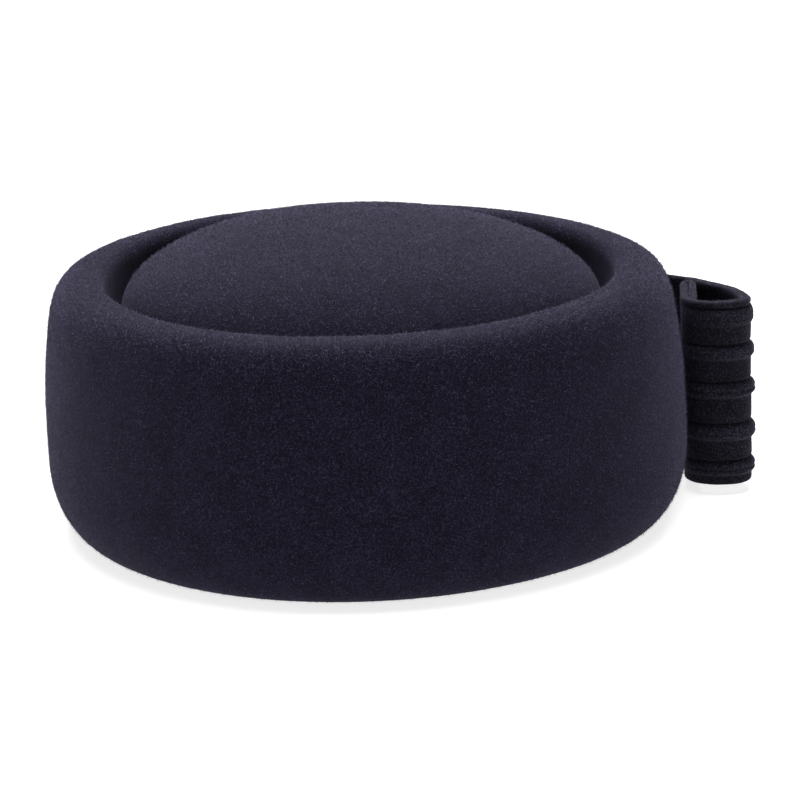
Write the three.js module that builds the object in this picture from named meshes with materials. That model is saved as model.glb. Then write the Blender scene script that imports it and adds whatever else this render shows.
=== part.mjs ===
// Pillbox hat: a one-piece blocked felt body, with a rolled rim round a low dome,
// and a tucked felt loop that stands upright against its side.
// Lengths are millimetres and angles are degrees. +Z points up, and +X points from
// the middle of the hat to the side that carries the loop.
import * as THREE from "three";

// Felt body, seen from above
const hatLength = 200; // along the long axis of the oval, at the widest height
const hatWidth = 190; // across the long axis
const eggShare = 0.045; // how much fuller the oval is at one end
const ovalTurn = -52; // from +X to the long axis of the oval

// Felt body, seen from the side
const feltThickness = 2.4;
const rimHeight = 77.7; // base to the crest of the rolled rim
const beltHeight = 32; // above it the wall leans in
const wallLean = 2.8; // how far it has leaned in where the shoulder starts
const shoulderDrop = 12.4; // crest down to the start of the shoulder
const shoulderFullness = 0.72; // 0.55 is a round shoulder, and 1 a square one
const crestInset = 16.4; // widest outline in to the crest
const rollWidth = 3.6; // crest in to the wall of the groove
const rollDrop = 4.4; // crest down to where that wall is upright
const grooveWidth = 4.6;
const grooveDepth = 17; // crest down to the floor of the groove
const domeEdgeDrop = 10.8; // crest down to the upright edge of the dome
const domeRise = 15.4; // crest up to the top of the dome
const domeFullness = 0.53; // 0.5 is an ellipse, and 1 a parabola
const hemTurnIn = 13.8; // how far the lower edge is rolled under
const hemTurnHeight = 22;
const hemFlat = 3.5; // width of the flat ring that the hat rests on

// Felt loop
const stripThickness = 2.4;
const stripHeight = 57.6;
const stripBase = 3; // base of the hat up to the lower edge of the strip
const stripEdge = 0.5; // softened corner of the cut edges
const loopFront = 3.6; // middle of the hat to the front face, along +Y
const loopDepth = 30.5; // front face to the fold at the back
const loopReach = 20.8; // wall-side face to the tip, along +X
const loopLean = 1; // outward lean of the upright loop
const tipSetBack = 8.4; // how far the tip stands behind the front face
const shoulderSetIn = 2.6; // how far the bend before the tip stands inside it
const wallBend = 7.2; // bend beside the wall, at the middle of the felt
const frontBend = 6.5; // bend between the front and the tip
const tipBend = 2.6;
const backBend = 8; // bend between the outer side and the tab
const seatBend = 8; // bend where the tab meets the wall
const tabSetBack = 17; // how far behind the fold the tab meets the wall
const tabLength = 10; // stretch of the tab that lies along the wall
const foldSetOut = 2.2; // how much farther from the wall the fold stands than the front
const foldLength = 24; // strip end that is folded inside along the inner side
const layerGap = 0.5; // clearance between the fold's two layers
const ribHeight = 5;
const ribProud = 1.3;
const seatGap = 0.3; // clearance between the loop and the wall, and beside the fold

// Tucks of the strip, from its lower edge up. "at" is a share of the strip's height,
// and "tall" and "proud" are shares of a rib's height and of its stand-out.
const tucks = [
  { at: 0.088, tall: 0.9, proud: 1.0 },
  { at: 0.286, tall: 1.04, proud: 1.05 },
  { at: 0.517, tall: 0.96, proud: 1.1 },
  { at: 0.721, tall: 0.92, proud: 1.0 },
  { at: 0.913, tall: 1.1, proud: 0.75 },
];

// One tuck across the strip: "up" is a share of its height, "out" of its stand-out.
const tuckOutline = [
  { up: 0.0, out: 0.0 },
  { up: 0.05, out: 0.75 },
  { up: 0.3, out: 1.0 },
  { up: 0.75, out: 0.95 },
  { up: 0.97, out: 0.7 },
  { up: 1.0, out: 0.0 },
];

// Fineness of the surfaces
const roundSegments = 60;
const bendStep = 15;
const outerSteps = { dome: 10, groove: 6, roll: 5, shoulder: 7, wall: 3, hem: 6 };
const innerSteps = { dome: 7, groove: 5, roll: 3, shoulder: 5, wall: 2, hem: 4 };

const feltColour = 0x24213a;
const halfLength = hatLength / 2;
const halfWidth = hatWidth / 2;
const domeInset = crestInset + rollWidth + grooveWidth;
const domeRadius = halfLength - domeInset;

// Point of the widest outline at an angle round the oval, before the oval is turned.
function ovalPoint(angle) {
  const fuller = 1 + eggShare * Math.cos(angle);
  return new THREE.Vector2(halfLength * Math.cos(angle), halfWidth * Math.sin(angle) * fuller);
}

// Point at a distance inside the widest outline, measured square to it.
function insetPoint(angle, inset) {
  const step = 0.001;
  const ahead = ovalPoint(angle + step).sub(ovalPoint(angle - step));
  const outward = new THREE.Vector2(ahead.y, -ahead.x).normalize();
  const point = ovalPoint(angle).addScaledVector(outward, -inset);
  return point.rotateAround(new THREE.Vector2(), THREE.MathUtils.degToRad(ovalTurn));
}

// Plan position for a radius of the turned profile. Inside the dome's edge the plan
// shrinks evenly to the middle.
function planPosition(angle, radius) {
  if (radius >= domeRadius) {
    return insetPoint(angle, halfLength - radius);
  }
  return insetPoint(angle, domeInset).multiplyScalar(radius / domeRadius);
}

// Quarter of an ellipse between two directions, in even steps without its first point.
function quarter(centre, start, end, steps) {
  return Array.from({ length: steps }, (_, index) => {
    const turn = ((index + 1) / steps) * (Math.PI / 2);
    const point = centre.clone().addScaledVector(start, Math.cos(turn));
    return point.addScaledVector(end, Math.sin(turn));
  });
}

// Outer face of the felt from the top of the dome to the inner edge of the hem:
// x is the radius along the oval's long axis and y the height.
function faceProfile(steps) {
  const at = (inset, height) => new THREE.Vector2(halfLength - inset, height);
  const edgeHeight = rimHeight - domeEdgeDrop;
  const domeHeight = domeRise + domeEdgeDrop;
  const points = [];
  for (let index = 0; index <= steps.dome; index += 1) {
    const turn = (index / steps.dome) * (Math.PI / 2);
    const rise = domeHeight * Math.max(Math.cos(turn), 0) ** (2 * domeFullness);
    points.push(new THREE.Vector2(domeRadius * Math.sin(turn), edgeHeight + rise));
  }

  const grooveRadius = grooveWidth / 2;
  const floorCentre = at(domeInset - grooveRadius, rimHeight - grooveDepth + grooveRadius);
  for (let index = 0; index <= steps.groove; index += 1) {
    const turn = Math.PI * (1 + index / steps.groove);
    const offset = new THREE.Vector2(Math.cos(turn), Math.sin(turn));
    points.push(floorCentre.clone().addScaledVector(offset, grooveRadius));
  }

  const rollCentre = at(crestInset, rimHeight - rollDrop);
  const rollSide = new THREE.Vector2(-rollWidth, 0);
  const rollUp = new THREE.Vector2(0, rollDrop);
  points.push(rollCentre.clone().add(rollSide));
  points.push(...quarter(rollCentre, rollSide, rollUp, steps.roll));

  const shoulderHeight = rimHeight - shoulderDrop;
  const leanHeight = shoulderHeight - beltHeight;
  const shoulderWidth = crestInset - wallLean;
  const shoulderWay = new THREE.Vector2((-2 * wallLean) / leanHeight, 1).normalize();
  const crest = at(crestInset, rimHeight);
  const shoulder = at(wallLean, shoulderHeight);
  const shoulderCurve = new THREE.CubicBezierCurve(
    crest,
    crest.clone().add(new THREE.Vector2(shoulderWidth * shoulderFullness, 0)),
    shoulder.clone().addScaledVector(shoulderWay, shoulderDrop * shoulderFullness),
    shoulder,
  );
  points.push(...shoulderCurve.getPoints(steps.shoulder).slice(1));
  for (let index = steps.wall - 1; index >= 0; index -= 1) {
    const share = index / steps.wall;
    points.push(at(wallLean * share ** 2, beltHeight + leanHeight * share));
  }

  const hemCentre = at(hemTurnIn, hemTurnHeight);
  const hemSide = new THREE.Vector2(hemTurnIn, 0);
  const hemDown = new THREE.Vector2(0, -hemTurnHeight);
  points.push(hemCentre.clone().add(hemSide));
  points.push(...quarter(hemCentre, hemSide, hemDown, steps.hem));
  points.push(at(hemTurnIn + hemFlat, 0));
  return points;
}

// The same face moved square to itself by the thickness of the felt.
function movedInside(points, distance) {
  const last = points.length - 1;
  return points.map((point, index) => {
    const before = points[Math.max(index - 1, 0)];
    const after = points[Math.min(index + 1, last)];
    const into = new THREE.Vector2(point.x - before.x, point.y - before.y).normalize();
    const out = new THREE.Vector2(after.x - point.x, after.y - point.y).normalize();
    const along = into.add(out).normalize();
    if (index === 0) {
      along.set(1, 0);
    }
    const inside = new THREE.Vector2(along.y, -along.x);
    return point.clone().addScaledVector(inside, distance);
  });
}

// Moves every corner of a geometry by a function of its own position.
function moveCorners(geometry, move) {
  const position = geometry.getAttribute("position");
  const corner = new THREE.Vector3();
  for (let index = 0; index < position.count; index += 1) {
    corner.fromBufferAttribute(position, index);
    const moved = move(corner);
    position.setXYZ(index, moved.x, moved.y, moved.z);
  }
  geometry.computeVertexNormals();
  return geometry;
}

// One-piece body: the profile is turned round the axis, then laid on the oval plan.
function bodyGeometry() {
  const inside = movedInside(faceProfile(innerSteps), feltThickness).reverse();
  const profile = [...faceProfile(outerSteps), ...inside];
  const turned = new THREE.LatheGeometry(profile, roundSegments);
  return moveCorners(turned, (corner) => {
    const plan = planPosition(Math.atan2(corner.z, corner.x), Math.hypot(corner.x, corner.z));
    return new THREE.Vector3(plan.x, plan.y, corner.y);
  });
}

// Widest outline as an even ring of plan points.
function outlineRing() {
  const count = 720;
  return Array.from({ length: count }, (_, index) => insetPoint((index / count) * 2 * Math.PI, 0));
}

// Farthest that the wall reaches along +X between two places along +Y.
function wallReach(low, high) {
  const beside = outlineRing().filter((point) => point.x > 0 && point.y >= low && point.y <= high);
  return Math.max(...beside.map((point) => point.x));
}

// Stations along a path through corners, each rounded by its own radius. A station
// holds its place, the way to the strip's outer side, and how free the strip stands
// there: 0 is pressed flat and 1 is free, with full tucks and the loop's lean.
function roundedStations(corners) {
  const leastStep = 0.05;
  const stations = [];
  const leftOf = (way) => new THREE.Vector2(-way.y, way.x);
  corners.forEach((corner, index) => {
    const before = corners[index - 1] ?? corner;
    const after = corners[index + 1] ?? corner;
    if (before === corner || after === corner) {
      const way = after.place.clone().sub(before.place).normalize();
      stations.push({ place: corner.place, side: leftOf(way), free: corner.free[0] });
      return;
    }
    const into = corner.place.clone().sub(before.place).normalize();
    const out = after.place.clone().sub(corner.place).normalize();
    const turn = Math.atan2(into.cross(out), into.dot(out));
    const reach = corner.radius * Math.tan(Math.abs(turn) / 2);
    const start = corner.place.clone().addScaledVector(into, -reach);
    const centre = start.clone().addScaledVector(leftOf(into), corner.radius * Math.sign(turn));
    const steps = Math.max(Math.round(Math.abs(THREE.MathUtils.radToDeg(turn)) / bendStep), 1);
    for (let step = 0; step <= steps; step += 1) {
      const share = step / steps;
      const way = into.clone().rotateAround(new THREE.Vector2(), turn * share);
      const place = start.clone().rotateAround(centre, turn * share);
      const free = THREE.MathUtils.lerp(corner.free[0], corner.free[1], share);
      stations.push({ place, side: leftOf(way), free });
    }
  });
  return stations.filter((station, index) => {
    return index === 0 || station.place.distanceTo(stations[index - 1].place) > leastStep;
  });
}

// Route of the strip: the tab on the wall, the outer side, the tip, the front, the
// inner side along the wall, and the end that is folded inside.
function loopRoute() {
  const half = stripThickness / 2;
  const layer = stripThickness + layerGap;
  const foldBack = loopFront + loopDepth;
  const inner = wallReach(loopFront, foldBack) + seatGap + half;
  const tip = inner - half + loopReach - half;
  const front = loopFront + half;
  const at = (x, y) => new THREE.Vector2(x, y);
  const innerStart = at(inner, front);
  const fold = at(inner + foldSetOut, foldBack - half);
  const along = fold.clone().sub(innerStart).normalize();
  const across = at(along.y, -along.x).multiplyScalar(layer);
  const foldInside = fold.clone().add(across);
  const foldCentre = fold.clone().lerp(foldInside, 0.5).addScaledVector(along, -layer / 2);
  const besideFold = layer / 2 + stripThickness + seatGap;
  const seat = wallSeat(foldBack + tabSetBack, seatGap + half);
  const tabEnd = seat.place.clone().addScaledVector(seat.along, tabLength);
  const corner = (place, radius, free) => ({ place, radius, free });
  return roundedStations([
    corner(tabEnd, 0, [0, 0]),
    corner(seat.place, seatBend, [0, 0]),
    corner(foldCentre.clone().addScalar(besideFold), backBend, [0, 1]),
    corner(at(tip, loopFront + tipSetBack), tipBend, [1, 1]),
    corner(at(tip - shoulderSetIn, front), frontBend, [1, 1]),
    corner(innerStart, wallBend, [1, 0]),
    corner(fold, layer / 2, [0, 0]),
    corner(foldInside, layer / 2, [0, 0]),
    corner(foldInside.clone().addScaledVector(along, -foldLength), 0, [0, 0]),
  ]);
}

// Place at a distance outside the wall's outline, and the way along the wall there.
function wallSeat(height, distance) {
  const ring = outlineRing().filter((point) => point.x > 0);
  const nearest = ring.reduce((best, point) => {
    return Math.abs(point.y - height) < Math.abs(best.y - height) ? point : best;
  });
  const angle = Math.atan2(nearest.y, nearest.x);
  const outward = new THREE.Vector2(Math.cos(angle), Math.sin(angle));
  return {
    place: nearest.clone().addScaledVector(outward, distance),
    along: new THREE.Vector2(-outward.y, outward.x),
  };
}

// Cross-section of the strip: x is out from the middle of the felt, y is up.
function stripSection() {
  const half = stripThickness / 2;
  const outline = [
    new THREE.Vector2(-half, stripEdge),
    new THREE.Vector2(-half + stripEdge, 0),
    new THREE.Vector2(half - stripEdge, 0),
    new THREE.Vector2(half, stripEdge),
  ];
  for (const tuck of tucks) {
    const tall = ribHeight * tuck.tall;
    const low = stripHeight * tuck.at - tall / 2;
    for (const row of tuckOutline) {
      const out = half + ribProud * tuck.proud * row.out;
      outline.push(new THREE.Vector2(out, low + tall * row.up));
    }
  }
  outline.push(new THREE.Vector2(half, stripHeight - stripEdge));
  outline.push(new THREE.Vector2(half - stripEdge, stripHeight));
  outline.push(new THREE.Vector2(-half + stripEdge, stripHeight));
  outline.push(new THREE.Vector2(-half, stripHeight - stripEdge));
  return new THREE.Shape(outline);
}

// Tucked strip: the section is extruded straight, one step for each station of the
// route, then bent along the route.
function loopGeometry() {
  const stations = loopRoute();
  const steps = stations.length - 1;
  const straight = new THREE.ExtrudeGeometry(stripSection(), { depth: steps, steps, bevelEnabled: false });
  const half = stripThickness / 2;
  const lean = Math.tan(THREE.MathUtils.degToRad(loopLean));
  return moveCorners(straight, (corner) => {
    const station = stations[Math.round(corner.z)];
    const proud = Math.max(corner.x - half, 0);
    const out = corner.x - proud * (1 - station.free);
    const plan = station.place.clone().addScaledVector(station.side, out);
    const shift = (corner.y - stripHeight / 2) * lean * station.free;
    return new THREE.Vector3(plan.x + shift, plan.y, stripBase + corner.y);
  });
}

function feltMesh(name, geometry) {
  const felt = new THREE.MeshStandardMaterial({ color: feltColour, roughness: 0.95, metalness: 0 });
  const mesh = new THREE.Mesh(geometry, felt);
  mesh.name = name;
  return mesh;
}

// The origin is the middle of the whole hat's box, at the height of its base.
const hat = new THREE.Group();
hat.add(feltMesh("felt_body", bodyGeometry()));
hat.add(feltMesh("felt_loop", loopGeometry()));
const middle = new THREE.Box3().setFromObject(hat).getCenter(new THREE.Vector3());
hat.position.set(-middle.x, -middle.y, 0);

export default hat;
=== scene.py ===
"""Looks for a pillbox hat of dark navy wool felt with a tucked loop at its side.

The felt body and the loop are made again as fine meshes, on the profile, the oval and
the route that their solids have, with the small unevenness of blocked felt. A short
nap of fibres stands on them. Lengths are metres, and angles are degrees.
"""

import logging
import math
from dataclasses import dataclass, field
from enum import Enum

import bpy
import numpy as np
from mathutils import Euler, Matrix, Vector


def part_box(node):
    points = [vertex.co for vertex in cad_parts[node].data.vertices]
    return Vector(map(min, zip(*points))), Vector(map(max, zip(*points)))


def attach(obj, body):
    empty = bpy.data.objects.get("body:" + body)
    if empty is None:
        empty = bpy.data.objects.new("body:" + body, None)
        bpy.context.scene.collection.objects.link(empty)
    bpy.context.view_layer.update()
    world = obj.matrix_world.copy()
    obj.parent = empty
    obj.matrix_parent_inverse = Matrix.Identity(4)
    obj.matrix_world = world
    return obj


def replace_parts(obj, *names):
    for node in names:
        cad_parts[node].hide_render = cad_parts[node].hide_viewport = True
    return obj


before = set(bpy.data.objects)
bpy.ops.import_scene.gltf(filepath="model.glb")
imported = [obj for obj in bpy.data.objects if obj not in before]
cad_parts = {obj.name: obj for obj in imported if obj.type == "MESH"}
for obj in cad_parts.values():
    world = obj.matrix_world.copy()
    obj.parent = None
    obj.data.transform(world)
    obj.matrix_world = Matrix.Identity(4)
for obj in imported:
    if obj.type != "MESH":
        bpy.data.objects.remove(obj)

MM = 0.001
FULL_TURN = 2 * math.pi
# Colour layer of painted light and shade, which multiplies the felt's colour.
SHADE_LAYER = "shade"
LEAST_LENGTH = 1e-20
SPIKE_FACES = np.array([[0, 1, 3], [1, 2, 3], [2, 0, 3], [2, 1, 0]])
SPIKE_CORNERS = 4
SPIKE_SIDES = 3
Colour = tuple[float, float, float]
log = logging.getLogger("pillbox_hat")


class FibreShade(Enum):
    """Shade of a single fibre, with its linear colour."""

    DEEP = (0.008, 0.007, 0.015)
    MIDDLE = (0.042, 0.039, 0.072)
    PALE = (0.145, 0.136, 0.220)


class FeltPart(Enum):
    """Material slots of the record for the body and the loop; nothing in this script reads them."""

    BODY = "body_felt"
    LOOP = "loop_felt"


def linked(name: str, data: bpy.types.ID) -> bpy.types.Object:
    """New object in the scene that holds a mesh, a lamp or a camera.

    Args:
        name: name of the object.
        data: the mesh, lamp or camera.

    Returns:
        The new object.
    """
    holder = bpy.data.objects.new(name, data)
    bpy.context.scene.collection.objects.link(holder)
    return holder


def unit(rows: np.ndarray) -> np.ndarray:
    """Each row brought to length 1."""
    return rows / np.linalg.norm(rows, axis=-1, keepdims=True)


def eased(share: np.ndarray | float) -> np.ndarray | float:
    """Smooth step from 0 to 1 for a share from 0 to 1."""
    return share * share * (3 - 2 * share)


@dataclass
class Surface:
    """A mesh as arrays: corners, four-sided faces and the capping triangles."""

    corners: np.ndarray
    quads: np.ndarray
    triangles: np.ndarray = field(default_factory=lambda: np.zeros((0, 3), int))

    def normals(self) -> np.ndarray:
        """Corner normals, as the mean of the faces round each corner.

        Returns:
            One vector of length 1 for each corner.
        """
        total = np.zeros_like(self.corners)
        p = self.corners
        first, second, third, fourth = (p[self.quads[:, side]] for side in range(4))
        across = np.cross(third - first, fourth - second)
        for side in range(4):
            np.add.at(total, self.quads[:, side], across)
        if len(self.triangles):
            first, second, third = (p[self.triangles[:, side]] for side in range(3))
            slope = np.cross(second - first, third - first)
            for side in range(3):
                np.add.at(total, self.triangles[:, side], slope)
        length = np.linalg.norm(total, axis=1, keepdims=True)
        return total / np.maximum(length, LEAST_LENGTH)

    def moved(self, distance: np.ndarray) -> "Surface":
        """The same faces with each corner moved along its normal."""
        return Surface(self.corners + self.normals() * distance[:, None], self.quads, self.triangles)

    def to_object(
        self, name: str, material: bpy.types.Material, shade: np.ndarray | None = None
    ) -> bpy.types.Object:
        """Makes a smooth mesh object in the scene.

        Args:
            name: name of the object and its mesh.
            material: the only material of the mesh.
            shade: painted light and shade at each corner, as a factor on the felt's colour, or None
                where there is none.

        Returns:
            The new object, linked to the scene.
        """
        mesh = bpy.data.meshes.new(name)
        mesh.from_pydata(self.corners.tolist(), [], self.quads.tolist() + self.triangles.tolist())
        mesh.shade_smooth()
        mesh.materials.append(material)
        shade = np.ones(len(self.corners)) if shade is None else shade
        layer = mesh.color_attributes.new(SHADE_LAYER, "FLOAT_COLOR", "POINT")
        colour = np.column_stack([shade, shade, shade, np.ones(len(shade))])
        layer.data.foreach_set("color", colour.astype(np.float32).ravel())
        return linked(name, mesh)


@dataclass(frozen=True)
class SoftNoise:
    """Smooth seeded noise in space, of its own depth, with waves of about one length."""

    depth: float
    wave: float
    seed: int
    cells: int = 32

    def at(self, points: np.ndarray) -> np.ndarray:
        """Noise at each point, from -depth to depth.

        Args:
            points: places in metres, one a row.

        Returns:
            One value a point.
        """
        lattice = np.random.default_rng(self.seed).uniform(-1, 1, (self.cells,) * 3)
        scaled = points / self.wave
        low = np.floor(scaled).astype(int)
        share = eased(scaled - low)
        value = np.zeros(len(points))
        for dx in (0, 1):
            for dy in (0, 1):
                for dz in (0, 1):
                    cell = (low + (dx, dy, dz)) % self.cells
                    weight = np.ones(len(points))
                    for axis, step in enumerate((dx, dy, dz)):
                        weight = weight * (share[:, axis] if step else 1 - share[:, axis])
                    value += weight * lattice[cell[:, 0], cell[:, 1], cell[:, 2]]
        return self.depth * value


def evenly(points: np.ndarray, count: int) -> np.ndarray:
    """A polyline with its points set at even distances along it.

    Args:
        points: the polyline, one point a row.
        count: number of points to give back.

    Returns:
        The new points, with both ends kept.
    """
    steps = np.linalg.norm(np.diff(points, axis=0), axis=1)
    along = np.concatenate(([0], np.cumsum(steps)))
    wanted = np.linspace(0, along[-1], count)
    return np.stack([np.interp(wanted, along, column) for column in points.T], axis=1)


def quarter(centre: tuple, start: tuple, end: tuple, steps: int = 24) -> np.ndarray:
    """Quarter of an ellipse.

    Args:
        centre: middle of the ellipse.
        start: way from the middle to the first point.
        end: way from the middle to the last point.
        steps: number of stretches.

    Returns:
        The points, both ends included.
    """
    turn = np.linspace(0, math.pi / 2, steps + 1)[:, None]
    return np.array(centre) + np.cos(turn) * np.array(start) + np.sin(turn) * np.array(end)


def way_at(angle: float) -> np.ndarray:
    """Unit vector in plan, at an angle in degrees from +X."""
    return np.array([math.cos(math.radians(angle)), math.sin(math.radians(angle))])


def crossing(place: np.ndarray, way: np.ndarray, other: np.ndarray, other_way: np.ndarray) -> np.ndarray:
    """Where two lines in plan cross.

    Args:
        place: a point of the first line.
        way: direction of the first line.
        other: a point of the second line.
        other_way: direction of the second line.

    Returns:
        The crossing point.
    """
    apart = other - place
    square = np.array([other_way[1], -other_way[0]])
    return place + way * (apart @ square) / (way @ square)


@dataclass(frozen=True)
class FeltFinish:
    """Brushed wool felt: mottled navy, matt, with a soft sheen at grazing angles."""

    name: str
    deep: Colour
    middle: Colour
    pale: Colour
    grain: float = 0.0006
    grain_detail: float = 3.0
    cloud: float = 0.012
    cloud_detail: float = 2.0
    cloud_share: float = 0.14
    noise_roughness: float = 0.6
    roughness: float = 0.95
    specular: float = 0.12
    relief: float = 0.0003
    relief_strength: float = 0.8
    sheen: float = 0.09
    sheen_roughness: float = 0.40
    sheen_tint: Colour = (0.54, 0.50, 0.86)
    ramp: tuple[float, float, float] = (0.44, 0.57, 0.70)

    def material(self) -> bpy.types.Material:
        """Node material of the felt.

        Returns:
            The new material.
        """
        material = bpy.data.materials.new(self.name)
        material.use_nodes = True
        tree = material.node_tree
        shader = tree.nodes["Principled BSDF"]
        shader.inputs["Roughness"].default_value = self.roughness
        shader.inputs["Specular IOR Level"].default_value = self.specular
        shader.inputs["Sheen Weight"].default_value = self.sheen
        shader.inputs["Sheen Roughness"].default_value = self.sheen_roughness
        shader.inputs["Sheen Tint"].default_value = (*self.sheen_tint, 1)
        place = tree.nodes.new("ShaderNodeTexCoord").outputs["Object"]
        grain = self._noise(tree, place, self.grain, self.grain_detail)
        cloud = self._noise(tree, place, self.cloud, self.cloud_detail)
        mixed = tree.nodes.new("ShaderNodeMath")
        mixed.operation = "MULTIPLY_ADD"
        mixed.inputs[1].default_value = self.cloud_share
        tree.links.new(cloud, mixed.inputs[0])
        tree.links.new(grain, mixed.inputs[2])
        ramp = tree.nodes.new("ShaderNodeValToRGB")
        ramp.color_ramp.elements[0].position = self.ramp[0]
        ramp.color_ramp.elements[0].color = (*self.deep, 1)
        ramp.color_ramp.elements[1].position = self.ramp[2]
        ramp.color_ramp.elements[1].color = (*self.pale, 1)
        ramp.color_ramp.elements.new(self.ramp[1]).color = (*self.middle, 1)
        tree.links.new(mixed.outputs[0], ramp.inputs["Fac"])
        # Painted light and shade: the felt's colour times the mesh's shade layer.
        shade = tree.nodes.new("ShaderNodeAttribute")
        shade.attribute_name = SHADE_LAYER
        painted_shading = tree.nodes.new("ShaderNodeVectorMath")
        painted_shading.operation = "MULTIPLY"
        tree.links.new(ramp.outputs["Color"], painted_shading.inputs[0])
        tree.links.new(shade.outputs["Color"], painted_shading.inputs[1])
        tree.links.new(painted_shading.outputs[0], shader.inputs["Base Color"])
        bump = tree.nodes.new("ShaderNodeBump")
        bump.inputs["Strength"].default_value = self.relief_strength
        bump.inputs["Distance"].default_value = self.relief
        tree.links.new(grain, bump.inputs["Height"])
        tree.links.new(bump.outputs["Normal"], shader.inputs["Normal"])
        return material

    def _noise(
        self, tree: bpy.types.NodeTree, place: bpy.types.NodeSocket, wave: float, detail: float
    ) -> bpy.types.NodeSocket:
        """Noise texture in the object's own space.

        Args:
            tree: the material's nodes.
            place: socket that gives the coordinates.
            wave: length of a wave.
            detail: octaves beyond the first.

        Returns:
            The socket with the noise value.
        """
        noise = tree.nodes.new("ShaderNodeTexNoise")
        noise.inputs["Scale"].default_value = 1 / wave
        noise.inputs["Detail"].default_value = detail
        noise.inputs["Roughness"].default_value = self.noise_roughness
        tree.links.new(place, noise.inputs["Vector"])
        return noise.outputs["Fac"]


@dataclass(frozen=True)
class FibreFinish:
    """Loose wool fibre that scatters light from every side."""

    shade: FibreShade
    roughness: float = 0.9
    specular: float = 0.15

    def material(self) -> bpy.types.Material:
        """Node material of fibres of this shade.

        Returns:
            The new material.
        """
        material = bpy.data.materials.new("wool_fibre_" + self.shade.name.lower())
        material.use_nodes = True
        shader = material.node_tree.nodes["Principled BSDF"]
        shader.inputs["Base Color"].default_value = (*self.shade.value, 1)
        shader.inputs["Roughness"].default_value = self.roughness
        shader.inputs["Specular IOR Level"].default_value = self.specular
        return material


@dataclass(frozen=True)
class Oval:
    """Widest outline of the hat from above: an oval, a little fuller at one end."""

    length: float = 200 * MM
    width: float = 190 * MM
    egg: float = 0.045
    turn: float = -52.0

    def ring(self, count: int, inset: float = 0.0) -> np.ndarray:
        """Plan points all round, at one distance inside the outline."""
        return self.inset(np.arange(count) / count * FULL_TURN, np.full(count, inset))

    def inset(self, angle: np.ndarray, inset: np.ndarray) -> np.ndarray:
        """Plan points at a distance inside the outline, measured square to it.

        Args:
            angle: angles round the oval, in radians, from its fuller end.
            inset: distance inside, one for each angle.

        Returns:
            The points, one a row.
        """
        half_length, half_width = self.length / 2, self.width / 2
        fuller = 1 + self.egg * np.cos(angle)
        point = np.stack([half_length * np.cos(angle), half_width * np.sin(angle) * fuller], axis=1)
        way_x = -half_length * np.sin(angle)
        way_y = half_width * (np.cos(angle) * fuller - self.egg * np.sin(angle) ** 2)
        point = point - unit(np.stack([way_y, -way_x], axis=1)) * inset[:, None]
        turn = math.radians(self.turn)
        spin = np.array([[math.cos(turn), math.sin(turn)], [-math.sin(turn), math.cos(turn)]])
        return point @ spin


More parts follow.
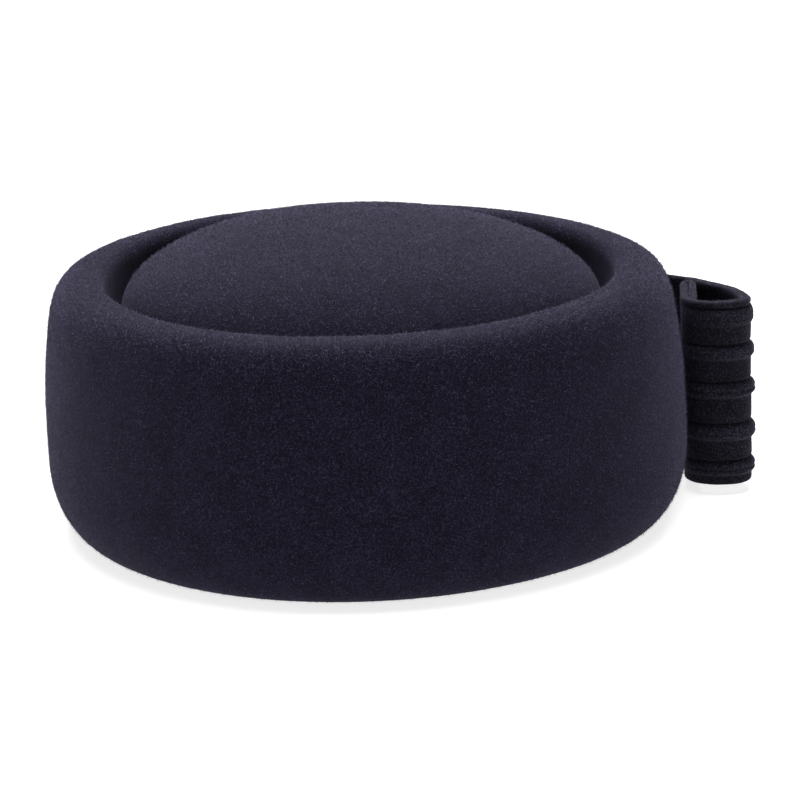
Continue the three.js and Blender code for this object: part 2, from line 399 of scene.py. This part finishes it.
@dataclass
class FeltBody:
    """One-piece blocked body: dome, groove, rolled rim, shoulder, wall and turned hem."""

    finish: FeltFinish
    oval: Oval = field(default_factory=Oval)
    thickness: float = 2.4 * MM
    rim_height: float = 77.7 * MM
    belt_height: float = 32 * MM
    wall_lean: float = 2.8 * MM
    shoulder_drop: float = 12.4 * MM
    shoulder_fullness: float = 0.72
    crest_inset: float = 16.4 * MM
    roll_width: float = 3.6 * MM
    roll_drop: float = 4.4 * MM
    groove_width: float = 4.6 * MM
    groove_depth: float = 17 * MM
    dome_edge_drop: float = 10.8 * MM
    dome_rise: float = 15.4 * MM
    dome_fullness: float = 0.53
    hem_turn_in: float = 13.8 * MM
    hem_turn_height: float = 22 * MM
    hem_flat: float = 3.5 * MM
    # Painted shade in the groove: the darkest share, the depth under the rim where it starts, the fall
    # to full shade, and its reach in groove widths.
    groove_shade: float = 0.12
    groove_shade_top: float = 0.8 * MM
    groove_shade_fall: float = 4.5 * MM
    groove_shade_reach: float = 1.5
    foot_height: float = 6 * MM
    waves: tuple[SoftNoise, ...] = (
        SoftNoise(0.28 * MM, 34 * MM, 11),
        SoftNoise(0.10 * MM, 9 * MM, 12),
        SoftNoise(0.05 * MM, 3.6 * MM, 13),
    )
    rounds: int = 400
    outer_rings: int = 134
    inner_rings: int = 36
    samples_a_ring: int = 6
    dome_points: int = 160
    shoulder_points: int = 60
    wall_points: int = 40
    hem_steps: int = 40
    edge_steps: int = 4

    @property
    def dome_inset(self) -> float:
        """Inset of the dome's foot, on the inner side of the groove."""
        return self.crest_inset + self.roll_width + self.groove_width

    def face(self) -> np.ndarray:
        """Outer face from the top of the dome to the inner edge of the hem.

        Returns:
            Rows of inset and height. The inset of the dome grows past the groove to
            half the oval's length, where its top is.
        """
        radius = self.groove_width / 2
        floor = (self.dome_inset - radius, self.rim_height - self.groove_depth + radius)
        roll = (self.crest_inset, self.rim_height - self.roll_drop)
        hem = (self.hem_turn_in, self.hem_turn_height)
        return np.concatenate([
            self._dome(),
            quarter(floor, (radius, 0), (0, -radius)),
            quarter(floor, (0, -radius), (-radius, 0)),
            quarter(roll, (self.roll_width, 0), (0, self.roll_drop)),
            self._shoulder(),
            self._wall(),
            quarter(hem, (-self.hem_turn_in, 0), (0, -self.hem_turn_height), self.hem_steps),
            [[self.hem_turn_in + self.hem_flat, 0]],
        ])

    def _dome(self) -> np.ndarray:
        """The dome, from its top to its foot in the groove.

        Returns:
            Rows of inset and height.
        """
        middle = self.oval.length / 2
        turn = np.linspace(0, math.pi / 2, self.dome_points)
        rise = np.maximum(np.cos(turn), 0) ** (2 * self.dome_fullness)
        foot = self.rim_height - self.dome_edge_drop
        height = foot + (self.dome_rise + self.dome_edge_drop) * rise
        return np.stack([middle - (middle - self.dome_inset) * np.sin(turn), height], axis=1)

    def _shoulder(self) -> np.ndarray:
        """The full round shoulder, from the rim's crest to the wall.

        Returns:
            Rows of inset and height.
        """
        crest = np.array([self.crest_inset, self.rim_height])
        end = np.array([self.wall_lean, self.rim_height - self.shoulder_drop])
        way = unit(np.array([2 * self.wall_lean / (end[1] - self.belt_height), 1]))
        reach = self.shoulder_fullness
        over = crest - ((self.crest_inset - self.wall_lean) * reach, 0)
        beside = end + way * self.shoulder_drop * reach
        share = np.linspace(0, 1, self.shoulder_points)[:, None]
        rest = 1 - share
        weights = (rest**3, 3 * share * rest**2, 3 * share**2 * rest, share**3)
        return sum(weight * handle for weight, handle in zip(weights, (crest, over, beside, end)))

    def _wall(self) -> np.ndarray:
        """The wall, from under the shoulder down to where it is widest.

        Returns:
            Rows of inset and height.
        """
        share = np.linspace(1, 0, self.wall_points)
        tall = self.rim_height - self.shoulder_drop - self.belt_height
        return np.stack([self.wall_lean * share**2, self.belt_height + tall * share], axis=1)

    def profile(self) -> np.ndarray:
        """Closed profile: the outer face, the cut edge of the hem and the inner face.

        Returns:
            Rows of inset and height, evenly spaced on each face.
        """
        outer = evenly(self.face(), self.outer_rings * self.samples_a_ring)
        way = np.gradient(outer, axis=0)
        way[0] = (-1, 0)
        way = unit(way)
        inner = outer + np.stack([-way[:, 1], way[:, 0]], axis=1) * self.thickness
        inner[0] = (self.oval.length / 2, outer[0, 1] - self.thickness)
        half = self.thickness / 2
        cut, steps = (outer[-1, 0], half), self.edge_steps
        return np.concatenate([
            evenly(outer, self.outer_rings),
            quarter(cut, (0, -half), (half / 2, 0), steps)[1:],
            quarter(cut, (half / 2, 0), (0, half), steps)[1:-1],
            evenly(inner[::-1], self.inner_rings),
        ])

    def surface(self) -> Surface:
        """The felt as a fine mesh in the hat's own axes, before it is made uneven.

        Returns:
            The even mesh.
        """
        profile = self.profile()
        middle = self.oval.length / 2
        rings = []
        for inset, height in profile[1:-1]:
            plan = self.oval.ring(self.rounds, min(inset, self.dome_inset))
            if inset > self.dome_inset:
                plan = plan * ((middle - inset) / (middle - self.dome_inset))
            rings.append(np.column_stack([plan, np.full(self.rounds, height)]))
        corners = np.concatenate([*rings, [[0, 0, profile[0, 1]], [0, 0, profile[-1, 1]]]])
        return Surface(corners, *self._faces(len(rings)))

    def _faces(self, rings: int) -> tuple[np.ndarray, np.ndarray]:
        """Faces between the rings, and the fans at the two ends.

        Args:
            rings: number of rings.

        Returns:
            Quads and triangles, with their fronts out.
        """
        first = np.arange(self.rounds)
        after = (first + 1) % self.rounds
        row = np.arange(rings - 1)[:, None] * self.rounds
        under = row + self.rounds
        quads = np.stack([row + first, under + first, under + after, row + after], axis=-1)
        last = (rings - 1) * self.rounds
        middle = np.full(self.rounds, rings * self.rounds)
        top = np.stack([middle, first, after], axis=1)
        bottom = np.stack([middle + 1, last + after, last + first], axis=1)
        return quads.reshape(-1, 4), np.concatenate([top, bottom])

    def outer_quads(self, surface: Surface) -> np.ndarray:
        """Quads of the outer face alone, which carry the nap."""
        return surface.quads[: (self.outer_rings - 2) * self.rounds]

    def shade(self, corners: np.ndarray) -> np.ndarray:
        """Painted shade: the felt is darker deep in the groove, where shade falls.

        Args:
            corners: places in the hat's own axes.

        Returns:
            One share for each corner, from the groove's painted shade to 1.
        """
        ring = self.oval.ring(self.rounds, self.dome_inset - self.groove_width / 2)
        around = np.arctan2(corners[:, 1], corners[:, 0])
        ring_angle = np.arctan2(ring[:, 1], ring[:, 0])
        ring_radius = np.linalg.norm(ring, axis=1)
        radius = np.interp(around, ring_angle, ring_radius, period=FULL_TURN)
        aside = np.abs(np.linalg.norm(corners[:, :2], axis=1) - radius)
        near = np.clip(self.groove_shade_reach - aside / self.groove_width, 0, 1)
        drop = self.rim_height - self.groove_shade_top - corners[:, 2]
        deep = np.clip(drop / self.groove_shade_fall, 0, 1)
        return 1 - (1 - self.groove_shade) * near * deep

    def build(self) -> Surface:
        """The felt with the small unevenness that blocking leaves.

        Returns:
            The mesh that is shown.
        """
        surface = self.surface()
        free = np.clip(surface.corners[:, 2] / self.foot_height, 0, 1)
        uneven = sum(wave.at(surface.corners) for wave in self.waves)
        return surface.moved(uneven * free)


@dataclass(frozen=True)
class Tuck:
    """One pressed tuck: its middle up the strip, its height, stand-out and dent."""

    at: float
    tall: float
    proud: float
    dent: float


@dataclass(frozen=True)
class Bend:
    """Corner of the strip's route, and how free the strip is before and after it."""

    place: np.ndarray
    radius: float = 0.0
    before: float = 0.0
    after: float = 0.0


@dataclass
class FeltLoop:
    """Strip of felt with five tucks, bent into an upright loop against the wall."""

    finish: FeltFinish
    oval: Oval = field(default_factory=Oval)
    thickness: float = 2.4 * MM
    height: float = 57.6 * MM
    base: float = 3 * MM
    edge: float = 0.85 * MM
    front: float = 2.7 * MM
    depth: float = 30.6 * MM
    reach: float = 21.5 * MM
    lean: float = 1.0
    wall_bend: float = 9.5 * MM
    tip_bend: float = 6 * MM
    tip_way: float = -79.0
    belly_bend: float = 30 * MM
    back_way: float = -47.0
    back_run: float = 3.4 * MM
    back_bend: float = 9 * MM
    seat_bend: float = 8 * MM
    tab_set_back: float = 17.7 * MM
    tab_length: float = 10 * MM
    fold_set_out: float = 1.8 * MM
    fold_length: float = 24 * MM
    layer_gap: float = 0.25 * MM
    rib_height: float = 5 * MM
    rib_proud: float = 1.25 * MM
    crease: float = 0.75 * MM
    crease_width: float = 0.45 * MM
    rim_roll: float = 1.3 * MM
    rim_tall: float = 7 * MM
    seat_gap: float = 0.3 * MM
    dent_at: float = 0.46
    crease_at: float = 1.04
    foot_power: int = 6
    lip_power: int = 4
    # Painted light and shade on the loop: the share on flat felt, the gain with the tucks' stand-out,
    # and the lowest stand-out that darkens the creases.
    flat_shade: float = 0.75
    tuck_shade: float = 0.5
    deepest: float = -0.8
    flat_nap: float = 0.12
    waves: tuple[SoftNoise, ...] = (
        SoftNoise(0.16 * MM, 14 * MM, 21),
        SoftNoise(0.08 * MM, 3.2 * MM, 22),
    )
    stations: int = 160
    outer_points: int = 156
    inner_points: int = 40
    edge_steps: int = 4
    bend_points: int = 19
    wall_points: int = 720
    tucks: tuple[Tuck, ...] = (
        Tuck(0.088, 0.90, 1.0, 0.45),
        Tuck(0.286, 1.04, 1.05, 0.2),
        Tuck(0.517, 0.96, 1.1, 0.5),
        Tuck(0.721, 0.92, 1.0, 0.15),
        Tuck(0.913, 1.10, 0.75, 0.1),
    )

    def outline_ring(self) -> np.ndarray:
        """Widest outline of the wall on the loop's side."""
        ring = self.oval.ring(self.wall_points)
        return ring[ring[:, 0] > 0]

    def route(self) -> tuple[np.ndarray, np.ndarray]:
        """Middle line of the strip from the tab's end to the folded end.

        Returns:
            Plan points, and how free the strip is at each: 0 is pressed flat.
        """
        half = self.thickness / 2
        layer = self.thickness + self.layer_gap
        fold_back = self.front + self.depth
        ring = self.outline_ring()
        beside = ring[(ring[:, 1] >= self.front) & (ring[:, 1] <= fold_back)]
        inner = beside[:, 0].max() + self.seat_gap + half
        start = np.array([inner, self.front + half])
        fold = np.array([inner + self.fold_set_out, fold_back - half])
        along = unit(fold - start)
        fold_inside = fold + np.array([along[1], -along[0]]) * layer
        fold_centre = (fold + fold_inside) / 2 - along * layer / 2
        past = way_at(self.back_way)
        beside_fold = np.array([-past[1], past[0]]) * (layer / 2 + self.thickness + self.seat_gap)
        outer_side = fold_centre + beside_fold
        tip = np.array([inner - half + self.reach, self.front + half])
        nearest = ring[np.argmin(np.abs(ring[:, 1] - fold_back - self.tab_set_back))]
        outward = unit(nearest)
        seat = nearest + outward * (self.seat_gap + half)
        tab_end = seat + np.array([-outward[1], outward[0]]) * self.tab_length
        return self._rounded([
            Bend(tab_end),
            Bend(seat, self.seat_bend),
            Bend(outer_side - past * self.back_run, self.back_bend, 0, 1),
            Bend(crossing(outer_side, past, tip, way_at(self.tip_way)), self.belly_bend, 1, 1),
            Bend(tip, self.tip_bend, 1, 1),
            Bend(start, self.wall_bend, 1, 0),
            Bend(fold, layer / 2),
            Bend(fold_inside, layer / 2),
            Bend(fold_inside - along * self.fold_length),
        ])

    def _rounded(self, bends: list[Bend]) -> tuple[np.ndarray, np.ndarray]:
        """Path through corners, each rounded by its own radius.

        Args:
            bends: the corners, from one end of the path to the other.

        Returns:
            Points of the path, and how free the strip is at each.
        """
        points, free = [bends[0].place], [bends[0].before]
        for last, bend, after in zip(bends, bends[1:], bends[2:]):
            into, out = unit(bend.place - last.place), unit(after.place - bend.place)
            turn = math.atan2(into[0] * out[1] - into[1] * out[0], float(into @ out))
            start = bend.place - into * bend.radius * math.tan(abs(turn) / 2)
            side = np.array([-into[1], into[0]]) * math.copysign(bend.radius, turn)
            centre = start + side
            for share in np.linspace(0, 1, self.bend_points):
                cos, sin = math.cos(turn * share), math.sin(turn * share)
                points.append(centre + np.array([[cos, -sin], [sin, cos]]) @ -side)
                free.append(bend.before + (bend.after - bend.before) * share)
        points.append(bends[-1].place)
        free.append(bends[-1].after)
        return np.array(points), np.array(free)

    def section(self) -> np.ndarray:
        """Cross-section of the strip.

        Returns:
            Rows of distance out from the middle of the felt, height, and what a tuck or
            the rolled top adds to the first where the strip is free.
        """
        half, edge, steps = self.thickness / 2, self.edge, self.edge_steps
        low, high = edge, self.height - edge
        rows = [(half, up, self.tuck_stand_out(up)) for up in np.linspace(low, high, self.outer_points)]
        top = quarter((half - edge, high), (edge, 0), (0, edge), steps)[1:]
        rows += [(x, y, 0) for x, y in top]
        top = quarter((-half + edge, high), (0, edge), (-edge, 0), steps)
        rows += [(x, y, -self.rim_roll) for x, y in top]
        for up in np.linspace(high, low, self.inner_points)[1:]:
            share = min(max((up - self.height + self.rim_tall) / (self.rim_tall - edge), 0), 1)
            rows.append((-half, up, -self.rim_roll * eased(share)))
        bottom = quarter((-half + edge, low), (-edge, 0), (0, -edge), steps)[1:]
        rows += [(x, y, 0) for x, y in bottom]
        bottom = quarter((half - edge, low), (0, -edge), (edge, 0), steps)[:-1]
        rows += [(x, y, 0) for x, y in bottom]
        return np.array(rows)

    def tuck_stand_out(self, up: float) -> float:
        """How far the tucks stand out at a height, with a pressed crease on each side.

        Args:
            up: height from the strip's lower edge.

        Returns:
            The stand-out, below zero in a crease.
        """
        out = 0.0
        for tuck in self.tucks:
            tall = self.rib_height * tuck.tall
            share = (up - self.height * tuck.at) / tall + 0.5
            if 0 < share < 1:
                dent = tuck.dent * self._narrow((share - self.dent_at) * tall)
                foot, lip = 1 - (1 - share) ** self.foot_power, 1 - share**self.lip_power
                out += self.rib_proud * tuck.proud * foot * lip * (1 - dent)
            out -= self.crease * self._narrow((share - self.crease_at) * tall)
        return out

    def _narrow(self, away: float) -> float:
        """Share of a crease's depth at a distance from its middle."""
        return math.exp(-((away / self.crease_width) ** 2))

    def stands(self, corners: np.ndarray) -> np.ndarray:
        """Share of a full tuck that the strip stands out by at each corner."""
        return np.array([self.tuck_stand_out(up) for up in corners[:, 2] - self.base]) / self.rib_proud

    def shade(self, corners: np.ndarray) -> np.ndarray:
        """Painted light and shade: darker in the creases, lighter on the tucks where they stand out."""
        return self.flat_shade + self.tuck_shade * np.clip(self.stands(corners), self.deepest, 1)

    def nap_density(self, corners: np.ndarray) -> np.ndarray:
        """How thick the nap stands: thin where the strip is flat, and full on tucks and top."""
        top = corners[:, 2] - self.base > self.height - 2 * self.edge
        return self.flat_nap + np.clip(self.stands(corners), 0, 1) + top

    def surface(self) -> Surface:
        """The strip as a fine mesh in the hat's own axes.

        Returns:
            The mesh before it is made uneven.
        """
        path, free = self.route()
        both = evenly(np.column_stack([path, free * MM]), self.stations)
        path, free = both[:, :2], both[:, 2] / MM
        way = unit(np.gradient(path, axis=0))
        side = np.stack([-way[:, 1], way[:, 0]], axis=1)
        section = self.section()
        lean = math.tan(math.radians(self.lean))
        rings = []
        for place, outward, loose in zip(path, side, free):
            out = section[:, 0] + section[:, 2] * loose
            plan = place + outward * out[:, None]
            shift = (section[:, 1] - self.height / 2) * lean * loose
            rings.append(np.column_stack([plan[:, 0] + shift, plan[:, 1], self.base + section[:, 1]]))
        return Surface(np.concatenate(rings), *self._faces(len(rings), len(section)))

    @staticmethod
    def _faces(rings: int, around: int) -> tuple[np.ndarray, np.ndarray]:
        """Faces between the rings, and the two ends as fans.

        Args:
            rings: number of stations.
            around: points of the section.

        Returns:
            Quads and triangles, with their fronts out.
        """
        first = np.arange(around)
        after = (first + 1) % around
        row = np.arange(rings - 1)[:, None] * around
        beyond = row + around
        quads = np.stack([row + first, row + after, beyond + after, beyond + first], axis=-1)
        fan = np.stack([np.zeros(around - 2, int), first[1:-1], first[2:]], axis=1)
        last = fan[:, ::-1] + (rings - 1) * around
        return quads.reshape(-1, 4), np.concatenate([fan, last])

    def build(self) -> Surface:
        """The strip with the small unevenness of pressed felt."""
        surface = self.surface()
        return surface.moved(sum(wave.at(surface.corners) for wave in self.waves))


@dataclass(frozen=True)
class Nap:
    """Short wool fibres that stand on a felt face, each a closed three-sided spike."""

    name: str
    fibres: int
    length: tuple[float, float] = (0.5 * MM, 1.5 * MM)
    thick_side: float = 0.07 * MM
    thick_top: float = 0.10 * MM
    thick_spread: tuple[float, float] = (0.7, 1.3)
    upward_gain: float = 1.2
    rise: tuple[float, float] = (0.15, 0.75)
    sunk: float = 0.12 * MM
    above_floor: float = 0.05 * MM
    seed: int = 1
    middle_share: float = 0.34
    # Share of pale fibres on the sides, and on faces that look up, where more pale fibres are a painted
    # highlight for light from above.
    pale_side: float = 0.16
    pale_top: float = 0.44

    def grow(
        self,
        surface: Surface,
        quads: np.ndarray,
        finishes: list[bpy.types.Material],
        density: np.ndarray | None = None,
    ) -> bpy.types.Object:
        """Sows the fibres over some faces of a surface.

        Args:
            surface: the felt's mesh.
            quads: the faces that carry this nap.
            finishes: one material for each fibre shade, from the darkest up.
            density: how thick the nap stands on each face, or None where it is even.

        Returns:
            One mesh object that holds all the fibres.
        """
        chance = np.random.default_rng(self.seed)
        roots, normals = self._sow(surface, quads, chance, density)
        count = len(roots)
        random_way = chance.normal(size=(count, 3))
        flat = random_way - normals * np.sum(random_way * normals, axis=1, keepdims=True)
        rise = chance.uniform(*self.rise, (count, 1))
        way = normals * rise + unit(flat) * np.sqrt(1 - rise**2)
        tips = roots + way * chance.uniform(*self.length, (count, 1))
        roots = roots - normals * self.sunk
        side = unit(np.cross(way, normals))
        other = np.cross(way, side)
        upward = np.clip(normals[:, 2:] * self.upward_gain, 0, 1)
        thick = self.thick_side + (self.thick_top - self.thick_side) * upward
        thick = thick * chance.uniform(*self.thick_spread, (count, 1))
        ring = [
            roots + thick / 2 * (side * math.cos(turn) + other * math.sin(turn))
            for turn in (FULL_TURN / SPIKE_SIDES * number for number in range(SPIKE_SIDES))
        ]
        corners = np.stack([*ring, tips], axis=1).reshape(-1, 3)
        corners[:, 2] = np.maximum(corners[:, 2], self.above_floor)
        faces = (SPIKE_FACES + np.arange(count)[:, None, None] * SPIKE_CORNERS).reshape(-1, 3)
        # Painted highlight: more pale fibres where the felt faces up.
        pale = self.pale_side + (self.pale_top - self.pale_side) * upward[:, 0]
        draw = chance.uniform(size=count)
        shade = (draw < pale).astype(int) + (draw < pale + self.middle_share)
        return self._to_object(corners, faces, np.repeat(shade, len(SPIKE_FACES)), finishes)

    def _sow(
        self,
        surface: Surface,
        quads: np.ndarray,
        chance: np.random.Generator,
        density: np.ndarray | None,
    ) -> tuple[np.ndarray, np.ndarray]:
        """Random places on the faces, as many for each area.

        Args:
            surface: the felt's mesh.
            quads: the faces that carry this nap.
            chance: source of the random draws.
            density: how thick the nap stands on each face, or None where it is even.

        Returns:
            The places and the normals there.
        """
        first, second, third, fourth = (surface.corners[quads[:, side]] for side in range(4))
        across = np.cross(third - first, fourth - second)
        area = np.linalg.norm(across, axis=1)
        weight = area if density is None else area * density
        chosen = chance.choice(len(quads), self.fibres, p=weight / weight.sum())
        u, v = chance.uniform(size=(2, self.fibres, 1))
        low = first[chosen] * (1 - u) + second[chosen] * u
        high = fourth[chosen] * (1 - u) + third[chosen] * u
        return low * (1 - v) + high * v, across[chosen] / area[chosen][:, None]

    def _to_object(
        self,
        corners: np.ndarray,
        faces: np.ndarray,
        shade: np.ndarray,
        finishes: list[bpy.types.Material],
    ) -> bpy.types.Object:
        """Makes the mesh object of the fibres.

        Args:
            corners: corners, four a fibre.
            faces: triangles, four a fibre.
            shade: material index of each triangle.
            finishes: one material for each fibre shade.

        Returns:
            The new object, linked to the scene.
        """
        mesh = bpy.data.meshes.new(self.name)
        mesh.vertices.add(len(corners))
        mesh.vertices.foreach_set("co", corners.astype(np.float32).ravel())
        mesh.loops.add(faces.size)
        mesh.loops.foreach_set("vertex_index", faces.astype(np.int32).ravel())
        mesh.polygons.add(len(faces))
        mesh.polygons.foreach_set("loop_start", np.arange(0, faces.size, 3, dtype=np.int32))
        for finish in finishes:
            mesh.materials.append(finish)
        mesh.polygons.foreach_set("material_index", shade.astype(np.int32))
        mesh.update(calc_edges=True)
        mesh.shade_smooth()
        return linked(self.name, mesh)


@dataclass(frozen=True)
class Zone:
    """Part of the felt body that one nap covers: inside the groove, or a band outside."""

    nap: Nap
    above: float = -math.inf
    up_to: float = math.inf
    inside: bool = False

    def covers(self, height: np.ndarray, inside: np.ndarray) -> np.ndarray:
        """Which faces the zone covers, from their heights and whether they lie inside."""
        return (inside == self.inside) & (height > self.above) & (height <= self.up_to)


@dataclass(frozen=True)
class SoftBox:
    """Large soft lamp that faces the hat."""

    name: str
    place: tuple[float, float, float]
    size: float
    power: float

    def light(self, target: Vector) -> None:
        """Adds the lamp to the scene, turned to the target.

        Args:
            target: place that the lamp faces.
        """
        lamp = bpy.data.lights.new(self.name, "AREA")
        lamp.size = self.size
        lamp.energy = self.power
        holder = linked(self.name, lamp)
        holder.location = self.place
        holder.rotation_euler = (target - holder.location).to_track_quat("-Z", "Y").to_euler()


@dataclass(frozen=True)
class Studio:
    """Pale floor, even light all round, soft lamps and the camera."""

    floor_half: float = 6.0
    floor_colour: Colour = (0.55, 0.55, 0.55)
    floor_glow: float = 0.78
    surround: float = 0.22
    backdrop: float = 1.0
    camera_distance: float = 1.355
    camera_elevation: float = 15.6
    camera_roll: float = 2.51
    camera_aim: tuple[float, float, float] = (12.44 * MM, 0.0, 35.34 * MM)
    lens: float = 200.8
    sensor: float = 36.0
    boxes: tuple[SoftBox, ...] = (
        SoftBox("lamp_above", (0.0, 0.3, 1.5), 1.4, 44.0),
        SoftBox("lamp_behind", (0.1, 1.7, 1.2), 0.9, 22.0),
        SoftBox("lamp_left", (-1.4, 0.5, 0.35), 0.6, 1.3),
    )

    def floor(self) -> None:
        """Large pale floor at the height of the hem."""
        half = self.floor_half
        corners = [(-half, -half, 0), (half, -half, 0), (half, half, 0), (-half, half, 0)]
        mesh = bpy.data.meshes.new("floor")
        mesh.from_pydata(corners, [], [(0, 1, 2, 3)])
        material = bpy.data.materials.new("pale_floor")
        material.use_nodes = True
        shader = material.node_tree.nodes["Principled BSDF"]
        shader.inputs["Base Color"].default_value = (*self.floor_colour, 1)
        shader.inputs["Roughness"].default_value = 1.0
        shader.inputs["Specular IOR Level"].default_value = 0.0
        shader.inputs["Emission Color"].default_value = (1, 1, 1, 1)
        shader.inputs["Emission Strength"].default_value = self.floor_glow
        mesh.materials.append(material)
        floor = linked("floor", mesh)

    def lights(self, target: Vector) -> None:
        """Dim even surround that the camera sees as white, and the soft lamps.

        Args:
            target: place that the lamps face.
        """
        world = bpy.data.worlds.new("studio")
        world.use_nodes = True
        tree = world.node_tree
        background = tree.nodes["Background"]
        background.inputs["Color"].default_value = (1, 1, 1, 1)
        seen = tree.nodes.new("ShaderNodeLightPath")
        strength = tree.nodes.new("ShaderNodeMapRange")
        strength.inputs["To Min"].default_value = self.surround
        strength.inputs["To Max"].default_value = self.backdrop
        tree.links.new(seen.outputs["Is Camera Ray"], strength.inputs["Value"])
        tree.links.new(strength.outputs["Result"], background.inputs["Strength"])
        bpy.context.scene.world = world
        bpy.context.scene.view_settings.view_transform = "Standard"
        for box in self.boxes:
            box.light(target)

    def camera(self, middle: Vector) -> None:
        """Camera at the photographed angle.

        Args:
            middle: the hat's axis at the floor, in the row frame.
        """
        elevation = math.radians(self.camera_elevation)
        back = Vector((0, -math.cos(elevation), math.sin(elevation)))
        data = bpy.data.cameras.new("camera")
        data.lens = self.lens
        data.sensor_width = self.sensor
        camera = linked("camera", data)
        camera.location = middle + Vector(self.camera_aim) + back * self.camera_distance
        turned = (-back).to_track_quat("-Z", "Y").to_matrix()
        roll = Euler((0, 0, math.radians(-self.camera_roll))).to_matrix()
        camera.rotation_euler = (turned @ roll).to_euler()
        bpy.context.scene.camera = camera


@dataclass
class PillboxHat:
    """The whole hat: the felt body, the felt loop and the nap on both."""

    body: FeltBody
    loop: FeltLoop
    groove_radius: float = 82 * MM
    zones: tuple[Zone, ...] = (
        Zone(Nap("nap_dome", 46000, seed=31), inside=True),
        Zone(Nap("nap_rim", 46000, seed=32), above=62 * MM),
        Zone(Nap("nap_wall_high", 46000, seed=33), above=28 * MM, up_to=62 * MM),
        Zone(Nap("nap_wall_low", 40000, seed=34), up_to=28 * MM),
    )
    loop_nap: Nap = Nap("nap_loop", 18000, (0.4 * MM, 1.1 * MM), seed=41, pale_side=0.24)
    shift: np.ndarray = field(default_factory=lambda: np.zeros(3))

    def place(self, surface: Surface, node: str) -> None:
        """Finds how far the hat's own axes lie from the row frame.

        Args:
            surface: the body's even mesh, in its own axes.
            node: the CAD node that it stands for.
        """
        low = np.array(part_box(node)[0])
        self.shift = np.array([*(low - surface.corners.min(axis=0))[:2], 0])

    def attach(self, piece: bpy.types.Object) -> bpy.types.Object:
        """Sets the piece in the row frame, on the body.

        Args:
            piece: a mesh in the hat's own axes.

        Returns:
            The same piece.
        """
        piece.data.transform(Matrix.Translation(self.shift))
        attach(piece, "root")
        log.info("%s: %d faces", piece.name, len(piece.data.polygons))
        return piece

    def build(self) -> None:
        """Builds and attaches every piece."""
        self.place(self.body.surface(), "felt_body")
        felt = self.body.build()
        shade = self.body.shade(felt.corners)
        piece = felt.to_object("felt_hat_body", self.body.finish.material(), shade)
        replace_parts(self.attach(piece), "felt_body")
        strip = self.loop.build()
        crease_shade_tuck_light = self.loop.shade(strip.corners)
        piece = strip.to_object("felt_hat_loop", self.loop.finish.material(), crease_shade_tuck_light)
        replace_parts(self.attach(piece), "felt_loop")
        fibres = [FibreFinish(tone).material() for tone in FibreShade]
        outer = self.body.outer_quads(felt)
        roots = felt.corners[outer[:, 0]]
        inside = np.linalg.norm(roots[:, :2], axis=1) < self.groove_radius
        for zone in self.zones:
            where = zone.covers(roots[:, 2], inside)
            # The nap thins out where the groove carries painted shade.
            density = shade[outer[where, 0]] ** 2
            self.attach(zone.nap.grow(felt, outer[where], fibres, density))
        density = self.loop.nap_density(strip.corners)[strip.quads[:, 0]]
        self.attach(self.loop_nap.grow(strip, strip.quads, fibres, density))


def main() -> None:
    """Builds the hat and its studio in order."""
    logging.basicConfig(level=logging.INFO, format="%(name)s: %(message)s")
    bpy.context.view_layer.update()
    body_felt = FeltFinish(
        "brushed_felt",
        deep=(0.003, 0.0026, 0.006),
        middle=(0.0065, 0.0055, 0.0145),
        pale=(0.0185, 0.016, 0.036),
    )
    loop_felt = FeltFinish(
        "pressed_felt",
        deep=(0.004, 0.0036, 0.006),
        middle=(0.0095, 0.0085, 0.0145),
        pale=(0.025, 0.023, 0.035),
        sheen=0.1,
    )
    hat = PillboxHat(FeltBody(body_felt), FeltLoop(loop_felt))
    hat.build()
    studio = Studio()
    axis = Vector(hat.shift)
    studio.floor()
    studio.lights(axis + Vector(studio.camera_aim))
    studio.camera(axis)


if __name__ == "__main__":
    main()
